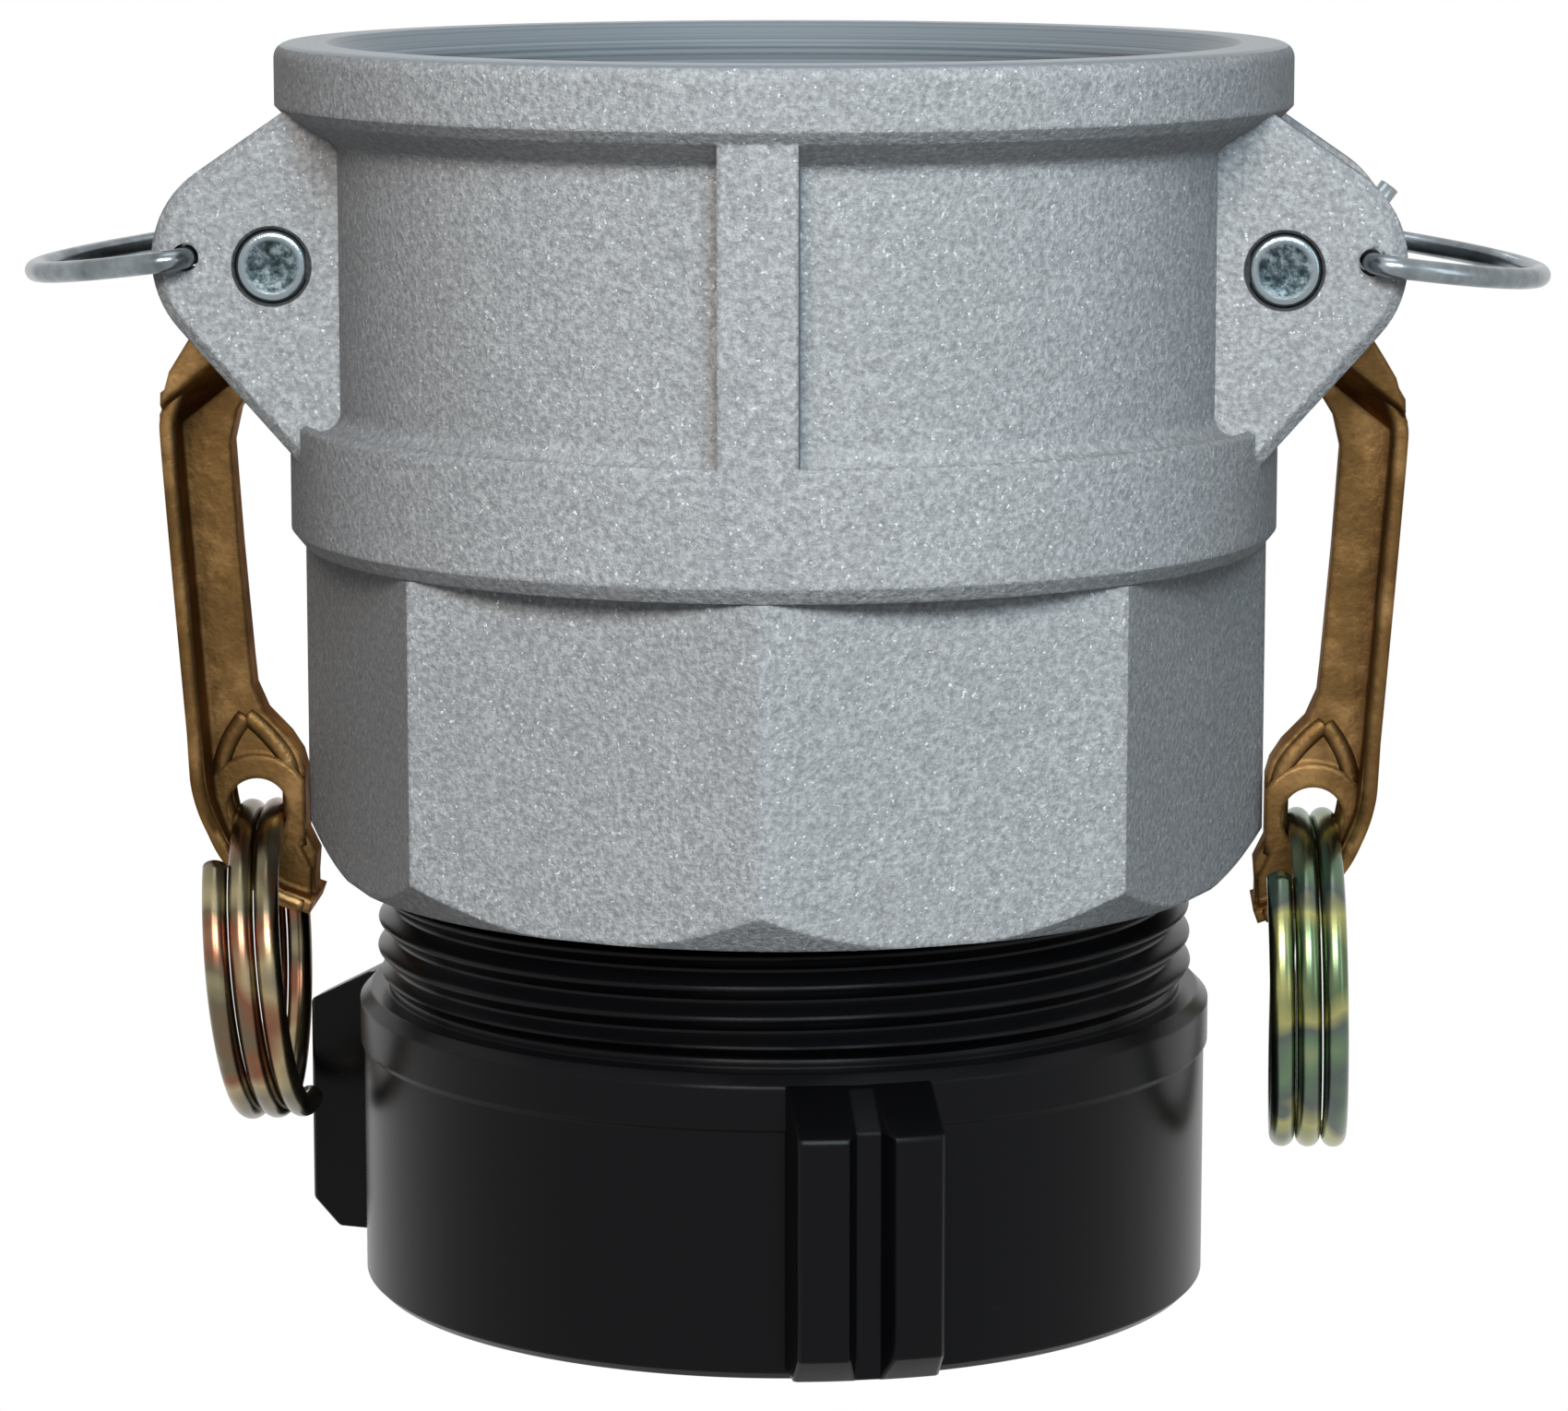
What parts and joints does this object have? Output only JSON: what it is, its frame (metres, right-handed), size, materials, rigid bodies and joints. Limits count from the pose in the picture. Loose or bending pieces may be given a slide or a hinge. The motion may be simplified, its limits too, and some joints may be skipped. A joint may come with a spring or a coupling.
{
  "type": "cam and groove coupling",
  "caption": "Cam and groove hose coupling: an aluminium female coupler with brass cam arms, finger rings and safety clips, screwed on a black lugged reducing adapter.",
  "frame": {"origin": "centre of the adapter's foot, on the surface that the part stands on", "axes": "+Z along the bore, up to the coupler's mouth; +X through the cam arms; -Y to the front rib"},
  "size_m": [0.1634, 0.1084, 0.1342],
  "materials": {
    "cast_aluminium": "blasted, with machined faces",
    "brass": "forged satin",
    "black_anodised": "black anodised satin",
    "zinc_bright": "bright zinc plated",
    "zinc_yellow": "yellow zinc plated",
    "elastomer": "matt"
  },
  "bodies": {
    "coupler": {"coupler_body": "cast_aluminium", "coupler_gasket": "elastomer", "adapter": "black_anodised", "adapter_gasket": "elastomer", "arm_pin_left": "zinc_bright", "arm_pin_right": "zinc_bright"},
    "left_arm": {"cam_arm_left": "brass"},
    "right_arm": {"cam_arm_right": "brass"},
    "left_finger_ring": {"finger_ring_left": "zinc_yellow"},
    "right_finger_ring": {"finger_ring_right": "zinc_yellow"},
    "left_safety_clip": {"safety_clip_left": "zinc_bright"},
    "right_safety_clip": {"safety_clip_right": "zinc_bright"}
  },
  "joints": [
    {"name": "left_arm_hinge", "type": "hinge", "parent": "coupler", "child": "left_arm", "pos_m": [-0.0528, 0, 0.1114], "axis": [0, 1, 0], "range_deg": [0, 18]},
    {"name": "right_arm_hinge", "type": "hinge", "parent": "coupler", "child": "right_arm", "pos_m": [0.0528, 0, 0.1114], "axis": [0, -1, 0], "range_deg": [0, 18]},
    {"name": "left_ring_swing", "type": "hinge", "parent": "left_arm", "child": "left_finger_ring", "pos_m": [-0.0573, 0, 0.051], "axis": [0, 1, 0], "range_deg": [0, 18]},
    {"name": "right_ring_swing", "type": "hinge", "parent": "right_arm", "child": "right_finger_ring", "pos_m": [0.0573, 0, 0.051], "axis": [0, -1, 0], "range_deg": [-8, 15]},
    {"name": "left_clip_swing", "type": "hinge", "parent": "coupler", "child": "left_safety_clip", "pos_m": [-0.0619, 0, 0.1123], "axis": [0, 1, 0], "range_deg": [-40, 60]},
    {"name": "right_clip_swing", "type": "hinge", "parent": "coupler", "child": "right_safety_clip", "pos_m": [0.0619, 0, 0.1123], "axis": [0, -1, 0], "range_deg": [-40, 60]}
  ]
}
